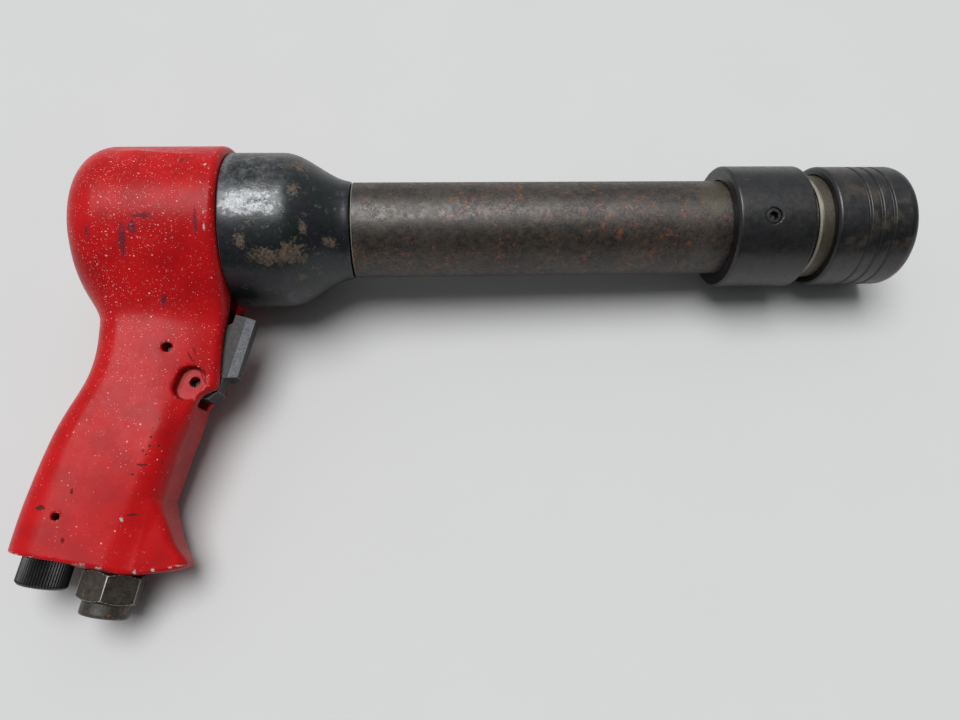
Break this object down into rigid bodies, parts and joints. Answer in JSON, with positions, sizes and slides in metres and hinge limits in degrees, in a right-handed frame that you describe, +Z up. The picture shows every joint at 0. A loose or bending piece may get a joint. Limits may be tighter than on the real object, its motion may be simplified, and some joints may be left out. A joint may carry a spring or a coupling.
{
  "type": "pneumatic rivet hammer",
  "caption": "Pistol-grip pneumatic rivet hammer with a bell-shaped valve housing, straight barrel, lock collar, pull-back retainer sleeve, trigger and flow regulator.",
  "frame": {"origin": "bottom centre of the bounding box; the tool lies on its side", "axes": "+X along the barrel to the muzzle, +Y from the grip up to the barrel, +Z up, out of the tool's side"},
  "size_m": [0.3458, 0.1816, 0.067],
  "materials": {
    "red_paint": "satin red paint, speckled and chipped",
    "blued_steel": "worn blued steel",
    "aged_steel": "brown-black steel with rust spots",
    "black_oxide": "satin black oxide",
    "bright_steel": "ground steel",
    "grey_steel": "dull grey steel",
    "spring_steel": "drawn spring wire",
    "seal_rubber": "black rubber",
    "nylon": "natural nylon"
  },
  "bodies": {
    "frame": {"handle": "red_paint", "bell_housing": "blued_steel", "bell_seal_ring": "seal_rubber", "valve_box_rear": "grey_steel", "valve_box_front": "grey_steel", "valve_dowel_pin_1": "bright_steel", "valve_dowel_pin_2": "bright_steel", "barrel": "aged_steel", "shank_bushing": "black_oxide", "lock_collar": "black_oxide", "set_screw_1": "black_oxide", "set_screw_2": "black_oxide", "set_screw_3": "black_oxide", "retainer_body": "aged_steel", "sleeve_stop_ring": "spring_steel", "sleeve_spring": "spring_steel", "trigger_pin": "bright_steel", "throttle_bushing_pin": "aged_steel", "throttle_bushing": "bright_steel", "throttle_seat": "nylon", "throttle_spring": "spring_steel", "regulator_pin": "aged_steel", "inlet_bushing": "aged_steel", "inlet_screen": "bright_steel"},
    "trigger": {"trigger": "grey_steel"},
    "throttle": {"throttle_stem": "bright_steel", "throttle_valve": "seal_rubber"},
    "regulator": {"regulator_stem": "bright_steel", "regulator_o_ring": "seal_rubber", "regulator_knob": "black_oxide"},
    "piston": {"piston": "bright_steel"},
    "spool": {"spool_valve": "bright_steel"},
    "sleeve": {"retainer_sleeve": "black_oxide"},
    "ball_1": {"lock_ball_1": "bright_steel"},
    "ball_2": {"lock_ball_2": "bright_steel"},
    "ball_3": {"lock_ball_3": "bright_steel"}
  },
  "joints": [
    {"name": "trigger_pull", "type": "hinge", "parent": "frame", "child": "trigger", "pos_m": [-0.11399, -0.00808, 0.0335], "axis": [0, 0, 1], "range_deg": [0, 8], "stiffness_Nm_per_rad": 1.5, "springref_deg": -5.73},
    {"name": "throttle_stroke", "type": "slide", "parent": "frame", "child": "throttle", "axis": [-0.977, 0.213, 0], "range_m": [0, 0.0029], "deforming": ["throttle_spring"]},
    {"name": "regulator_turn", "type": "hinge", "parent": "frame", "child": "regulator", "pos_m": [-0.1637, -0.073, 0.0335], "axis": [-0.213, -0.977, 0], "range_deg": [0, 180]},
    {"name": "piston_stroke", "type": "slide", "parent": "frame", "child": "piston", "axis": [1, 0, 0], "range_m": [0, 0.12]},
    {"name": "spool_shift", "type": "slide", "parent": "frame", "child": "spool", "axis": [1, 0, 0], "range_m": [0, 0.003]},
    {"name": "sleeve_pull", "type": "slide", "parent": "frame", "child": "sleeve", "axis": [-1, 0, 0], "range_m": [0, 0.005], "stiffness_N_per_m": 1500, "springref_m": -0.004, "deforming": ["sleeve_spring"]},
    {"name": "ball_1_shift", "type": "slide", "parent": "frame", "child": "ball_1", "axis": [0, 0.5, 0.866], "range_m": [0, 0.0029]},
    {"name": "ball_2_shift", "type": "slide", "parent": "frame", "child": "ball_2", "axis": [0, 0.5, -0.866], "range_m": [0, 0.0029]},
    {"name": "ball_3_shift", "type": "slide", "parent": "frame", "child": "ball_3", "axis": [0, -1, 0], "range_m": [0, 0.0029]}
  ],
  "couplings": [
    {"joint": "throttle_stroke", "follows": "trigger_pull", "m_per_rad": 0.0205},
    {"joint": "ball_1_shift", "follows": "sleeve_pull", "ratio": 0.56},
    {"joint": "ball_2_shift", "follows": "sleeve_pull", "ratio": 0.56},
    {"joint": "ball_3_shift", "follows": "sleeve_pull", "ratio": 0.56}
  ]
}
